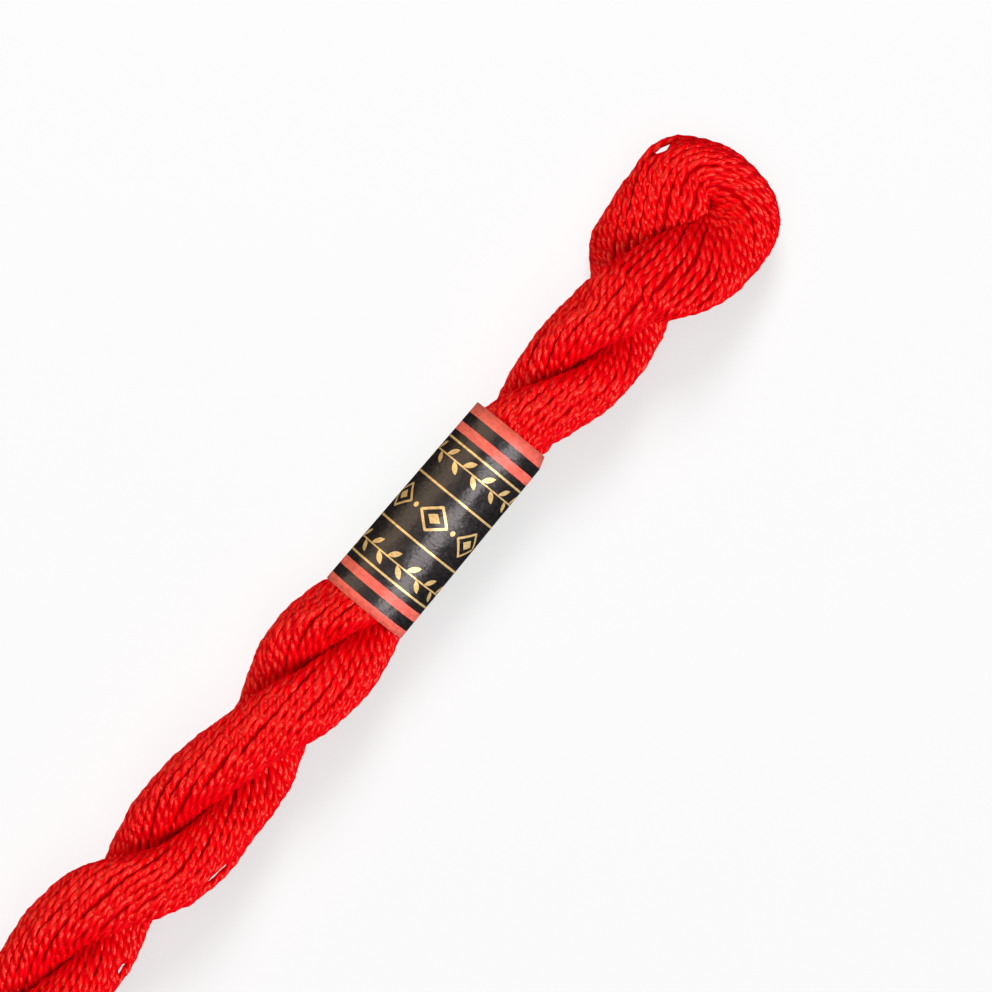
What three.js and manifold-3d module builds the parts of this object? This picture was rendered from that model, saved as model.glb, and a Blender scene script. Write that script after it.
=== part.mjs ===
// A skein of pearl cotton: a ring of thread twisted on itself into a rope of two strands,
// with a closed loop at each end and a paper band round it near one of them.
// Millimetres, +X along the skein to its banded end, +Y across it, +Z up, resting on Z = 0.

import * as THREE from "three";
import { mergeVertices } from "three/addons/utils/BufferGeometryUtils.js";
import Module from "manifold-3d";

// Skein
const SKEIN_LENGTH = 230;
const LOOP_SQUARENESS = 2.3;
const LOOP_TIP_HALF_WIDTH = 2.2;
const LOOP_TIP_HALF_HEIGHT = 2.9;
const LOOP_TIP_Z = 3.6;
const STRAND_SIDES = 14;
const STEPS_IN_A_HALF_TURN = 7;
const STEPS_IN_A_QUARTER_LOOP = 5;
const POINT_STEP = 0.0001;
const BLOCK_BELOW_FLOOR = { length: 260, width: 40, depth: 10 };

// Paper band, an oval tube that narrows a little towards the end of the skein
const BAND_LEFT = { x: 63.7, midY: 0.78, halfWidth: 4.18 };
const BAND_RIGHT = { x: 83.8, midY: 0.55, halfWidth: 3.95 };
const BAND_MID_Z = 4.85;
const BAND_HALF_HEIGHT = 4.3;
const BAND_THICKNESS = 0.3;
const BAND_SIDES = 48;

const COTTON = { color: 0xd8000c, roughness: 0.55, metalness: 0 };
const PRINTED_PAPER = { color: 0x242122, roughness: 0.45, metalness: 0 };

// Sections of the rope, from its banded end on. A row holds:
// x           place along the skein
// turns       half turns of the strands round each other: stacked at whole numbers, level between
// lean        half turns of each strand's own section; it stays at the last crossing in a loop
// midY, midZ  centre of the rope
// apart       from that centre to the centre of a strand
// thick       half of a strand's section, measured outwards in the rope
// broad       half of a strand's section across that line
const BANDED_SECTIONS = [
  { x: 108.8, turns: 0.5, lean: 0, midY: -0.04, midZ: 4.1, apart: 3.6, thick: 2.45, broad: 3.42 },
  { x: 107.3, turns: 0.44, lean: 0, midY: -0.04, midZ: 4.2, apart: 3.48, thick: 2.45, broad: 3.57 },
  { x: 104.9, turns: 0.315, lean: 0, midY: 0.03, midZ: 4.4, apart: 3.2, thick: 2.5, broad: 4.05 },
  { x: 102.75, turns: 0.245, lean: 0, midY: 0.35, midZ: 4.6, apart: 2.9, thick: 2.55, broad: 4.15 },
  { x: 100.6, turns: 0.155, lean: 0, midY: 0.5, midZ: 4.75, apart: 2.6, thick: 2.6, broad: 3.95 },
  { x: 99.3, turns: 0, lean: 0, midY: -0.05, midZ: 4.85, apart: 2.42, thick: 2.6, broad: 3.75 },
  { x: 92.2, turns: -0.5, lean: -0.5, midY: -0.3, midZ: 4.85, apart: 2.25, thick: 2.4, broad: 3.3 },
  { x: 85.8, turns: -0.95, lean: -0.95, midY: 0.25, midZ: 4.85, apart: 2.1, thick: 2.25, broad: 3.12 },
  { x: 83.3, turns: -1.1, lean: -1.1, midY: 0.56, midZ: 4.85, apart: 1.5, thick: 1.7, broad: 2.9 },
  { x: 76.5, turns: -1.5, lean: -1.5, midY: 0.64, midZ: 4.85, apart: 1.5, thick: 1.7, broad: 3.05 },
  { x: 67.9, turns: -2, lean: -2, midY: 0.74, midZ: 4.85, apart: 1.6, thick: 1.7, broad: 3.1 },
  { x: 64.3, turns: -2.18, lean: -2.18, midY: 0.78, midZ: 4.85, apart: 1.6, thick: 1.7, broad: 3.1 },
  { x: 62.2, turns: -2.29, lean: -2.29, midY: 0.82, midZ: 4.85, apart: 2.1, thick: 2.2, broad: 3.35 },
  { x: 58.3, turns: -2.5, lean: -2.5, midY: 0.95, midZ: 4.85, apart: 2.5, thick: 2.65, broad: 3.35 },
  { x: 50.5, turns: -3, lean: -3, midY: 0.61, midZ: 4.85, apart: 2.5, thick: 2.6, broad: 3.4 },
  { x: 40.6, turns: -3.5, lean: -3.5, midY: 0.43, midZ: 4.85, apart: 2.5, thick: 2.65, broad: 3.4 },
  { x: 31.8, turns: -4, lean: -4, midY: 1.05, midZ: 4.85, apart: 2.45, thick: 2.6, broad: 3.35 },
  { x: 28.8, turns: -4.19, lean: -4.16, midY: 1.35, midZ: 4.85, apart: 2.6, thick: 2.7, broad: 3.6 },
  { x: 22.8, turns: -4.5, lean: -4.5, midY: 1.4, midZ: 4.85, apart: 2.55, thick: 2.65, broad: 3.35 },
];

// The rest of the rope goes on evenly to the plain end, where the centre line comes back to Y = 0
const PLAIN_HALF_TURN = 18.7;
const PLAIN_CROSSINGS = 7;
const PLAIN_FIRST = { x: 13, turns: -5, midY: 1.2, midZ: 4.85, apart: 2.5, thick: 2.6, broad: 3.4 };
const PLAIN_LAST_CROSSING = { midY: 0, midZ: 4.85, apart: 2.42, thick: 2.6, broad: 3.75 };

// Width of a strand round an end loop, by degrees from the tip towards each strand;
// share is 1 for the width of the arm and 0 for the width at the tip
const LOOP_WIDTHS = [
  { angle: -90, share: 1 },
  { angle: -45, share: 0.85 },
  { angle: 0, share: 0 },
  { angle: 45, share: 0.6 },
  { angle: 90, share: 1 },
];

function plainSections() {
  const rows = [];
  for (let i = 0; i < PLAIN_CROSSINGS; i += 1) {
    const turns = PLAIN_FIRST.turns - i;
    const x = PLAIN_FIRST.x - i * PLAIN_HALF_TURN;
    const midY = PLAIN_FIRST.midY * (1 - i / (PLAIN_CROSSINGS - 1));
    const own = i < PLAIN_CROSSINGS - 1 ? PLAIN_FIRST : PLAIN_LAST_CROSSING;
    rows.push({ ...own, x, turns, lean: turns, midY });
  }
  return rows;
}

// The plain end's loop repeats the sections of the banded end's loop, turned end for end
function plainLoopSections(crossing) {
  const first = BANDED_SECTIONS.findIndex((row) => row.turns === 0);
  return BANDED_SECTIONS.slice(0, first).reverse().map((row) => ({
    ...row,
    x: crossing.x - (row.x - BANDED_SECTIONS[first].x),
    turns: crossing.turns - row.turns,
    lean: crossing.turns,
    midY: -row.midY,
  }));
}

const PLAIN_SECTIONS = plainSections();
const LAST_CROSSING = PLAIN_SECTIONS[PLAIN_SECTIONS.length - 1];
const ROPE_SECTIONS = [...BANDED_SECTIONS, ...PLAIN_SECTIONS, ...plainLoopSections(LAST_CROSSING)];

// Value of a column at a place between the rows, on a smooth curve that never overshoots
function between(rows, key, column, at) {
  const rising = rows[rows.length - 1][key] > rows[0][key];
  const sorted = rising ? rows : [...rows].reverse();
  let i = 0;
  while (i < sorted.length - 2 && at > sorted[i + 1][key]) i += 1;
  const chord = (j) => {
    if (j < 0 || j > sorted.length - 2) return 0;
    return (sorted[j + 1][column] - sorted[j][column]) / (sorted[j + 1][key] - sorted[j][key]);
  };
  const slope = (j) => {
    const before = chord(j - 1);
    const after = chord(j);
    return before * after > 0 ? (2 * before * after) / (before + after) : 0;
  };
  const span = sorted[i + 1][key] - sorted[i][key];
  const t = (at - sorted[i][key]) / span;
  const start = sorted[i][column];
  const end = sorted[i + 1][column];
  const rise = t * t * (3 - 2 * t);
  const bend = t * (1 - t) * ((1 - t) * slope(i) - t * slope(i + 1)) * span;
  return start + (end - start) * rise + bend;
}

// Section of one strand in the rope; side is -1 for the first strand and 1 for the second
function strandSection(x, side) {
  const at = (column) => between(ROPE_SECTIONS, "x", column, x);
  const half = side > 0 ? Math.PI : 0;
  const place = Math.PI * (0.5 + at("turns")) + half;
  const lean = Math.PI * (0.5 + at("lean")) + half;
  const centre = new THREE.Vector3(x, at("midY"), at("midZ"));
  centre.y += at("apart") * Math.cos(place);
  centre.z += at("apart") * Math.sin(place);
  return {
    centre,
    outward: new THREE.Vector3(0, Math.cos(lean), Math.sin(lean)),
    across: new THREE.Vector3(0, -Math.sin(lean), Math.cos(lean)),
    thick: at("thick"),
    broad: at("broad"),
  };
}

// Section of the strand round an end loop; end is 1 at the banded end and -1 at the plain one
function loopSection(end, side, degrees) {
  const startX = end > 0 ? ROPE_SECTIONS[0].x : ROPE_SECTIONS[ROPE_SECTIONS.length - 1].x;
  const arm = strandSection(startX, side);
  const midY = between(ROPE_SECTIONS, "x", "midY", startX);
  const radius = Math.abs(arm.centre.y - midY);
  const length = SKEIN_LENGTH / 2 - LOOP_TIP_HALF_WIDTH - Math.abs(startX);
  const angle = THREE.MathUtils.degToRad(degrees);
  const forward = Math.cos(angle) ** (2 / LOOP_SQUARENESS);
  const sideways = Math.sin(angle) ** (2 / LOOP_SQUARENESS);
  const away = new THREE.Vector3(
    (end * forward ** (LOOP_SQUARENESS - 1)) / length,
    (side * sideways ** (LOOP_SQUARENESS - 1)) / radius,
    0,
  ).normalize();
  const share = between(LOOP_WIDTHS, "angle", "share", side * degrees);
  return {
    centre: new THREE.Vector3(
      startX + end * length * forward,
      midY + side * radius * sideways,
      THREE.MathUtils.lerp(arm.centre.z, LOOP_TIP_Z, forward),
    ),
    outward: arm.outward,
    across: away.multiplyScalar(end),
    thick: THREE.MathUtils.lerp(LOOP_TIP_HALF_HEIGHT, arm.thick, sideways),
    broad: THREE.MathUtils.lerp(LOOP_TIP_HALF_WIDTH, arm.broad, share),
  };
}

function sectionsOfStrand(side) {
  const sections = [];
  for (let i = 0; i < STEPS_IN_A_QUARTER_LOOP; i += 1) {
    sections.push(loopSection(-1, side, (90 * i) / STEPS_IN_A_QUARTER_LOOP));
  }
  for (let row = ROPE_SECTIONS.length - 1; row > 0; row -= 1) {
    const here = ROPE_SECTIONS[row];
    const next = ROPE_SECTIONS[row - 1];
    const steps = Math.ceil((next.turns - here.turns) * STEPS_IN_A_HALF_TURN);
    for (let i = 0; i < steps; i += 1) {
      sections.push(strandSection(here.x + ((next.x - here.x) * i) / steps, side));
    }
  }
  sections.push(strandSection(ROPE_SECTIONS[0].x, side));
  for (let i = STEPS_IN_A_QUARTER_LOOP - 1; i >= 0; i -= 1) {
    sections.push(loopSection(1, side, (90 * i) / STEPS_IN_A_QUARTER_LOOP));
  }
  return sections;
}

// Closed tube through a list of oval sections
function tubeThrough(sections, sides) {
  const points = [];
  const faces = [];
  const round = (value) => Math.round(value / POINT_STEP) * POINT_STEP;
  const push = (point) => points.push(...point.toArray().map(round));
  for (const { centre, outward, across, thick, broad } of sections) {
    for (let j = 0; j < sides; j += 1) {
      const turn = (2 * Math.PI * j) / sides;
      const point = centre.clone().addScaledVector(outward, thick * Math.cos(turn));
      push(point.addScaledVector(across, broad * Math.sin(turn)));
    }
  }
  for (let i = 0; i < sections.length - 1; i += 1) {
    for (let j = 0; j < sides; j += 1) {
      const here = i * sides + j;
      const beside = i * sides + ((j + 1) % sides);
      faces.push(here, beside, here + sides, beside, beside + sides, here + sides);
    }
  }
  const last = (sections.length - 1) * sides;
  const startCentre = points.length / 3;
  push(sections[0].centre);
  push(sections[sections.length - 1].centre);
  for (let j = 0; j < sides; j += 1) {
    const next = (j + 1) % sides;
    faces.push(startCentre, next, j, startCentre + 1, last + j, last + next);
  }
  return closedGeometry(points, faces);
}

function closedGeometry(points, faces) {
  const geometry = new THREE.BufferGeometry();
  geometry.setAttribute("position", new THREE.Float32BufferAttribute(points, 3));
  geometry.setIndex(faces);
  return geometry;
}

function solidOf(wasm, geometry) {
  const mesh = new wasm.Mesh({
    numProp: 3,
    vertProperties: new Float32Array(geometry.getAttribute("position").array),
    triVerts: new Uint32Array(geometry.getIndex().array),
  });
  return new wasm.Manifold(mesh);
}

function geometryOf(solid) {
  const mesh = solid.getMesh();
  return closedGeometry(Array.from(mesh.vertProperties), Array.from(mesh.triVerts));
}

// Block under Z = 0 that trims the undersides to small flat spots
function blockBelowFloor() {
  const { length, width, depth } = BLOCK_BELOW_FLOOR;
  const block = new THREE.BoxGeometry(length, width, depth);
  block.translate(0, 0, -depth / 2);
  block.deleteAttribute("normal");
  block.deleteAttribute("uv");
  return mergeVertices(block);
}

function hank(wasm) {
  const strands = [-1, 1].map((side) => {
    return solidOf(wasm, tubeThrough(sectionsOfStrand(side), STRAND_SIDES));
  });
  const trimmed = strands[0].add(strands[1]).subtract(solidOf(wasm, blockBelowFloor()));
  const mesh = new THREE.Mesh(geometryOf(trimmed), new THREE.MeshStandardMaterial(COTTON));
  mesh.name = "hank";
  return mesh;
}

// Paper band: four rings of points, outside and inside at each end, joined into a tube wall
function band() {
  const points = [];
  const faces = [];
  const ring = (end, inset) => {
    for (let j = 0; j < BAND_SIDES; j += 1) {
      const turn = (2 * Math.PI * j) / BAND_SIDES;
      const y = end.midY + (end.halfWidth - inset) * Math.cos(turn);
      points.push(end.x, y, BAND_MID_Z + (BAND_HALF_HEIGHT - inset) * Math.sin(turn));
    }
  };
  ring(BAND_LEFT, 0);
  ring(BAND_RIGHT, 0);
  ring(BAND_RIGHT, BAND_THICKNESS);
  ring(BAND_LEFT, BAND_THICKNESS);
  for (let i = 0; i < 4; i += 1) {
    for (let j = 0; j < BAND_SIDES; j += 1) {
      const next = (j + 1) % BAND_SIDES;
      const here = i * BAND_SIDES;
      const there = ((i + 1) % 4) * BAND_SIDES;
      faces.push(here + j, here + next, there + j, here + next, there + next, there + j);
    }
  }
  const geometry = closedGeometry(points, faces);
  const mesh = new THREE.Mesh(geometry, new THREE.MeshStandardMaterial(PRINTED_PAPER));
  mesh.name = "band";
  return mesh;
}

const wasm = await Module();
wasm.setup();

const skein = new THREE.Group();
skein.add(hank(wasm), band());

export default skein;
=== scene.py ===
import math

import bpy
import numpy as np
from bpy.props import FloatProperty, IntProperty, PointerProperty, StringProperty
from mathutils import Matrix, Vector


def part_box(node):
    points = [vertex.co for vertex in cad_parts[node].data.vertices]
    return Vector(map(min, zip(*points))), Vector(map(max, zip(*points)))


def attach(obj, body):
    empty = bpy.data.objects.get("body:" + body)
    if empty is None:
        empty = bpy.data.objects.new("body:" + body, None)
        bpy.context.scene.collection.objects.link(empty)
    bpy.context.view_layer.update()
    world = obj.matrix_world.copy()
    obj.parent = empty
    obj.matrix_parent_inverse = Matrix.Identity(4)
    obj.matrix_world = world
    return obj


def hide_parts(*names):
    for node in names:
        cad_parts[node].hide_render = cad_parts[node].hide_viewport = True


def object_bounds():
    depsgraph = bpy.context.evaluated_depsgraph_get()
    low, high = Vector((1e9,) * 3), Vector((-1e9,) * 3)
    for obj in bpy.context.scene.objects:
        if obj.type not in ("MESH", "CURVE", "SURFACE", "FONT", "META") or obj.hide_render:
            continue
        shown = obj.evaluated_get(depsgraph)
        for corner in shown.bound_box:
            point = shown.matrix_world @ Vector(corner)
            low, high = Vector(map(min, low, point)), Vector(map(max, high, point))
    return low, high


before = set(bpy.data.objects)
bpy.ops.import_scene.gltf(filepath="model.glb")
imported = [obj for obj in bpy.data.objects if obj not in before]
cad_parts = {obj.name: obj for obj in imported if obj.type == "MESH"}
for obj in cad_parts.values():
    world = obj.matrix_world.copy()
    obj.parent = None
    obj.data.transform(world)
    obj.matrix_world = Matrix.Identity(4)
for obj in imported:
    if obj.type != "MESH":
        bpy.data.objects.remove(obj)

bl_info = {
    "name": "Skein of pearl cotton",
    "version": (1, 0, 0),
    "blender": (4, 5, 0),
    "location": "3D View > Sidebar > Skein",
    "description": "A twisted hank of two-ply cotton thread with a printed paper band",
    "category": "Add Mesh",
}

MM = 0.001
CAD_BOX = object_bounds()
SKEIN_LENGTH = (CAD_BOX[1].x - CAD_BOX[0].x) / MM
BAND_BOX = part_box("band")
BAND_START = BAND_BOX[0].x / MM
BAND_END = BAND_BOX[1].x / MM

# Sections of the twisted rope in millimetres, from its banded end on. The columns are the place
# along the skein, half turns of the strands round each other (stacked at whole numbers, level
# between), half turns of each strand's own section, the rope's centre, from that centre to a
# strand's centre, half of the strand outwards in the rope and half of it across, and by how much
# the upper one of two stacked strands bulges across more than that, and the lower one less.
ROPE_COLUMNS = ("x", "turns", "lean", "mid_y", "mid_z", "apart", "thick", "broad", "bulge")
BANDED_ROWS = (
    (108.8, 0.5, 0.0, 0.0, 4.1, 3.35, 2.45, 3.7, 0.0),
    (107.3, 0.438, 0.0, -0.05, 4.2, 3.17, 2.55, 3.88, 0.01),
    (104.9, 0.331, 0.016, -0.04, 4.4, 2.92, 2.59, 4.23, -0.07),
    (102.75, 0.227, -0.018, 0.1, 4.6, 2.75, 2.69, 4.43, -0.26),
    (100.6, 0.099, -0.05, 0.2, 4.75, 2.68, 2.77, 4.29, -0.4),
    (99.3, 0.0, 0.0, 0.13, 4.85, 2.53, 2.65, 3.84, -0.39),
    (96.0, -0.23, -0.228, -0.4, 4.85, 2.29, 2.41, 3.25, 0.01),
    (92.2, -0.504, -0.501, -0.28, 4.85, 2.26, 2.38, 3.26, 0.01),
    (88.8, -0.748, -0.744, -0.02, 4.85, 2.05, 2.3, 3.13, -0.02),
    (85.8, -0.951, -0.948, 0.17, 4.85, 1.85, 2.24, 3.11, -0.07),
    (83.3, -1.1, -1.1, 0.3, 4.85, 1.75, 1.85, 2.95, 0.0),
    (76.5, -1.5, -1.5, 0.64, 4.85, 1.8, 1.9, 3.2, 0.0),
    (67.9, -2.0, -2.0, 0.74, 4.85, 1.9, 2.0, 3.4, 0.0),
    (64.3, -2.18, -2.18, 0.78, 4.85, 1.95, 2.05, 3.45, 0.0),
    (62.2, -2.3, -2.297, 0.81, 4.85, 2.2, 2.33, 3.46, 0.05),
    (58.3, -2.547, -2.543, 0.95, 4.85, 2.44, 2.71, 3.48, -0.04),
    (54.4, -2.794, -2.794, 0.83, 4.85, 2.53, 2.65, 3.42, -0.06),
    (50.5, -3.003, -3.007, 0.57, 4.85, 2.34, 2.6, 3.4, -0.26),
    (45.5, -3.229, -3.225, 0.5, 4.85, 2.34, 2.7, 3.56, -0.51),
    (40.6, -3.487, -3.492, 0.45, 4.85, 2.5, 2.66, 3.43, -0.25),
    (36.2, -3.742, -3.739, 0.35, 4.85, 2.54, 2.66, 3.45, -0.02),
    (31.8, -4.004, -3.989, 1.13, 4.85, 2.49, 2.63, 3.42, 0.33),
    (28.8, -4.176, -4.149, 1.49, 4.85, 2.47, 2.59, 3.38, 0.26),
    (25.6, -4.368, -4.335, 1.54, 4.85, 2.49, 2.66, 3.43, 0.13),
    (22.8, -4.525, -4.492, 1.48, 4.85, 2.48, 2.66, 3.37, 0.06),
)
# Plain end: distance and number of its crossings, the first row, and the last crossing's sizes
PLAIN_HALF_TURN = 18.7
PLAIN_CROSSINGS = 7
PLAIN_FIRST_ROW = (13.0, -5.0, -5.0, 1.12, 4.85, 2.45, 2.6, 3.37, 0.0)
LAST_CROSSING_SIZES = (0.0, 4.85, 2.53, 2.65, 3.84, -0.39)

# Strand's width round an end loop: degrees from the tip, and 1 for the arm's width, 0 for the tip's
LOOP_WIDTHS = ((-90, 1.0), (-60, 1.25), (-30, 0.5), (0, 0.0), (30, 0.02), (60, 0.7), (90, 1.0))
# Power of the loop's curve, 2 for round, then the strand at its tip: half sizes, height and shift
LOOP_SQUARENESS = 2.1
LOOP_TIP_HALF_WIDTH = 2.4
LOOP_TIP_HALF_HEIGHT = 2.9
LOOP_TIP_Z = 3.6
LOOP_TIP_SHIFT = 0.6

# The strands press together round the eye of a loop: its place, its reach and how far it closes,
# then how far the eye lies off the middle and how deep it sinks, and the reach of both
EYE_X = 109.9
EYE_REACH = 1.3
EYE_CLOSING = 0.42
EYE_SHIFT = 0.75
EYE_SINK = 0.22
EYE_HOLLOW_REACH = 2.6

# Oval outside of the paper band in millimetres, at its two ends and in height
BAND_LEFT = {"mid_y": 0.78, "half_width": 4.18}
BAND_RIGHT = {"mid_y": 0.55, "half_width": 3.95}
BAND_MID_Z = 4.85
BAND_HALF_HEIGHT = 4.3
# Paper tucked in at the right end on the -Y side: how far in, and over what length
END_TUCK = 0.36
END_TUCK_LENGTH = 1.2
# How far the threads stay inside the band's outside, then how their room widens beyond its ends
PAPER_ROOM = 0.17
MOUTH_SLOPE = 0.5
MOUTH_REACH = 1.5
# The paper's start lies under its end: where, how far round and how many paper thicknesses deep
LAP_START = math.radians(-115)
LAP_ANGLE = math.radians(28)
LAP_DEPTH = 1.1
BAND_COLUMNS = 25
BAND_ANGLES = 150
# Order of the band's inks, the gold of the print last
GROUND, STRIPE, BARE_PAPER, GOLD = range(4)

# Gold print: where it starts, how far it stands off the paper, the way round the band, and its
# motifs' sizes in millimetres, with the number of point pairs in a line
PRINT_START = math.radians(-64)
INK_LIFT = 0.012
PRINT_GIRTH = math.pi * (BAND_HALF_HEIGHT + BAND_LEFT["half_width"])
RULE = {"width": 0.2, "from_end": 0.75, "from_middle": 2.5, "pairs": 160}
LOZENGES = 6
LOZENGE = {
    "half_width": 1.25, "line": 0.24, "overlap": 1.04, "pairs": 6, "heart_width": 1.05,
    "heart_share": 0.46,
}
DOT = 0.5
SPRIG = {
    "from_end": 2.2, "stem": 0.14, "pairs": 10, "leaf_x": 0.52, "stagger": 0.22,
    "leaf_length": 1.35, "leaf_width": 0.52, "lean": math.radians(42),
}
FILLED_PAIRS = 9

# Strand's extra turn where it comes round the banded loop, so that its threads fan out from the eye:
# turns, its place before the loop's tip along the strand, and the length that it takes, in millimetres
FAN_TURNS = 0.22
FAN_PLACE = 5.0
FAN_LENGTH = 13.0

# Slits where the outermost thread stands off the hank's edge, in millimetres and degrees: middle,
# direction of the edge outwards, half width and half length
EDGE_SLITS = (
    {"x": 111.0, "y": 6.0, "outwards": 68, "gap": 0.17, "length": 1.05},
    {"x": 37.7, "y": -3.93, "outwards": -97, "gap": 0.035, "length": 2.2},
    {"x": 25.9, "y": -2.7, "outwards": -80, "gap": 0.025, "length": 0.95},
)
# How near to a slit's middle its outermost thread is looked for, and how deep in threads are drawn
# back. The core is drawn back deeper, by more room and over a longer stretch
SLIT_SEARCH = 0.4
SLIT_DEPTH = 2.0
CORE_SLIT_DEPTH = 2.5
CORE_SLIT_ROOM = 0.3
CORE_SLIT_STRETCH = 1.5
# The outermost thread's own bow, in slit lengths, and how gently it ends
BOW_REACH = 3
BOW_EASE = 5

# Two plies press into one thread with two soft lobes: how far the lobes stand out of the round, and
# how unevenly the thread is twisted (in turns) and spun (in parts of its size)
PLY_LOBE = 0.12
UNEVEN_TWIST = 0.12
UNEVEN_SIZE = 0.06
# Unevenness along the thread: wavelengths in millimetres, and the seed of their random phases
STRAY = ((9.0, 17.0, 31.0), 11)
DEPTH = ((7.0, 13.0, 26.0), 23)
TWIST = ((4.0, 11.0), 31)
SPIN = ((3.0, 8.0), 47)
# The highest value that the unevenness is taken to reach
NOISE_PEAK = 1.5
# Wander in and out of the hank, in parts of the wander sideways
DEPTH_WANDER = 0.5
# Sides of a thread, and the pieces that its turns are shared out among
THREAD_SIDES = 8
THREAD_PIECES = 6
# How deep the outermost threads' centres and the core's face lie, in thread thicknesses
OUTER_INSET = 0.5
CORE_INSET = 0.6
# Core's sides and, in millimetres, its facets and its least height over the board
CORE_SIDES = 20
CORE_STEP = 1.0
CORE_LIFT = 0.3
# Strands are worked out in steps of this length in millimetres, and quarter loops in this many places
STRAND_STEP = 0.15
LOOP_PLACES = 60
# Millimetres over which a strand's sections are eased into each other
EASE_LENGTH = 3.0
# How deep the thread's two ends sink into the hank, and over what length, in millimetres
END_TUCK_IN = 1.3
END_TUCK_IN_LENGTH = 7.0
# From the middle of the board to its edges, in millimetres
FLOOR_REACH = 2500.0

# Lights: tilt from straight above and turn in degrees, distance and width in metres, power, colour
LIGHTS = (
    ("key_softbox", 34, -90, 0.7, 0.5, 7.2, (1.0, 0.9, 0.9)),
    ("fill_softbox", 60, 90, 0.9, 0.9, 6.6, (1.0, 0.75, 0.54)),
    ("top_softbox", 0, 0, 1.0, 2.4, 3.2, (1.0, 0.87, 0.9)),
    ("floor_light", 0, 0, 1.5, 2.0, 106.0, (1.0, 1.0, 1.0)),
    ("shadow_light", 45, 39.4, 1.2, 0.48, 13.5, (1.0, 1.0, 1.0)),
)


def length_setting(name, description, millimetres):
    """Setting for a length, from its size in millimetres"""
    return FloatProperty(
        name=name, description=description, default=millimetres * MM, unit="LENGTH", precision=5
    )


def colour_setting(name, description, default):
    """Setting for a colour in sRGB hex"""
    return StringProperty(name=name, description=description + ", sRGB hex", default=default)


class HankSettings(bpy.types.PropertyGroup):
    """Sizes and colours of the wound thread"""

    lays: IntProperty(name="Lays", description="Threads side by side round one strand", default=26, min=8)
    whole_rounds: IntProperty(
        name="Rounds", description="Whole rounds that a thread winds about its strand", default=18
    )
    step_lays: IntProperty(
        name="Step", description="Lays between one turn of the hank and the next", default=5
    )
    thread_size: length_setting("Thread size", "Thickness of the thread", 0.71)
    ply_pitch: length_setting("Ply pitch", "Length of one turn of the plies", 2.75)
    facet_length: length_setting("Facet", "Length of one facet of the thread", 0.25)
    wander: length_setting("Wander", "How far a thread strays from an even lay", 0.17)
    colour: colour_setting("Colour", "Dyed thread", "#EA0313")
    deep_colour: colour_setting("Deep colour", "Deepest dye", "#DE010E")
    # Painted shade: a deeper red drawn into the crease between the plies
    painted_crease_shade: colour_setting("Crease colour", "Between plies", "#C8000C")
    # Painted shade: the packed core is drawn a deeper red than the thread, as the shade between the outer
    # threads
    core_shade_colour: colour_setting("Core colour", "Packed inside", "#B8000C")
    lustre: colour_setting("Lustre", "Gloss that has passed through the dye", "#FF9678")


class BandSettings(bpy.types.PropertyGroup):
    """Sizes and colours of the paper band"""

    thickness: length_setting("Thickness", "Thickness of the paper", 0.13)
    left_edge: length_setting("Left edge", "Stripe that shows at the left end", 0.78)
    right_edge: length_setting("Right edge", "Stripe that shows at the right end", 1.08)
    stripe: length_setting("Stripe", "Width of an inner stripe", 0.95)
    lozenge: length_setting("Lozenge", "Length of a lozenge round the band", 3.0)
    ground: colour_setting("Ground", "Dark ink", "#0F0D10")
    stripe_colour: colour_setting("Stripes", "Stripe ink", "#CF5A4B")
    gold: colour_setting("Gold", "Gold ink", "#CFB478")
    paper: colour_setting("Paper", "Bare paper at the edges", "#EFE9E2")


class StageSettings(bpy.types.PropertyGroup):
    """Camera, floor and light"""

    camera_height: length_setting("Camera height", "Height of the camera over the skein", 420.0)
    view_width: length_setting("View width", "Width of the picture at the skein", 86.3)
    view_x: length_setting("View X", "Middle of the picture along X", 78.5)
    view_y: length_setting("View Y", "Middle of the picture along Y", -1.93)
    roll: FloatProperty(
        name="Roll", description="Turn of the camera about its line of sight",
        default=math.radians(-50.6), subtype="ANGLE",
    )
    floor: colour_setting("Floor", "Board", "#8C8C8C")


def linear(hex_colour):
    """sRGB hex to linear RGBA"""
    parts = [int(hex_colour[i:i + 2], 16) / 255 for i in (1, 3, 5)]
    return tuple(c / 12.92 if c <= 0.04045 else ((c + 0.055) / 1.055) ** 2.4 for c in parts) + (1.0,)


def add_node(material, kind, sockets=None, links=None, **settings):
    """Add a node, set its settings and sockets, and link its inputs"""
    node = material.node_tree.nodes.new(kind)
    for name, value in settings.items():
        setattr(node, name, value)
    for name, value in (sockets or {}).items():
        node.inputs[name].default_value = value
    for name, source in (links or {}).items():
        material.node_tree.links.new(source, node.inputs[name])
    return node


def new_material(name):
    """Empty node material"""
    material = bpy.data.materials.new(name)
    material.use_nodes = True
    material.node_tree.nodes.clear()
    return material


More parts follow.
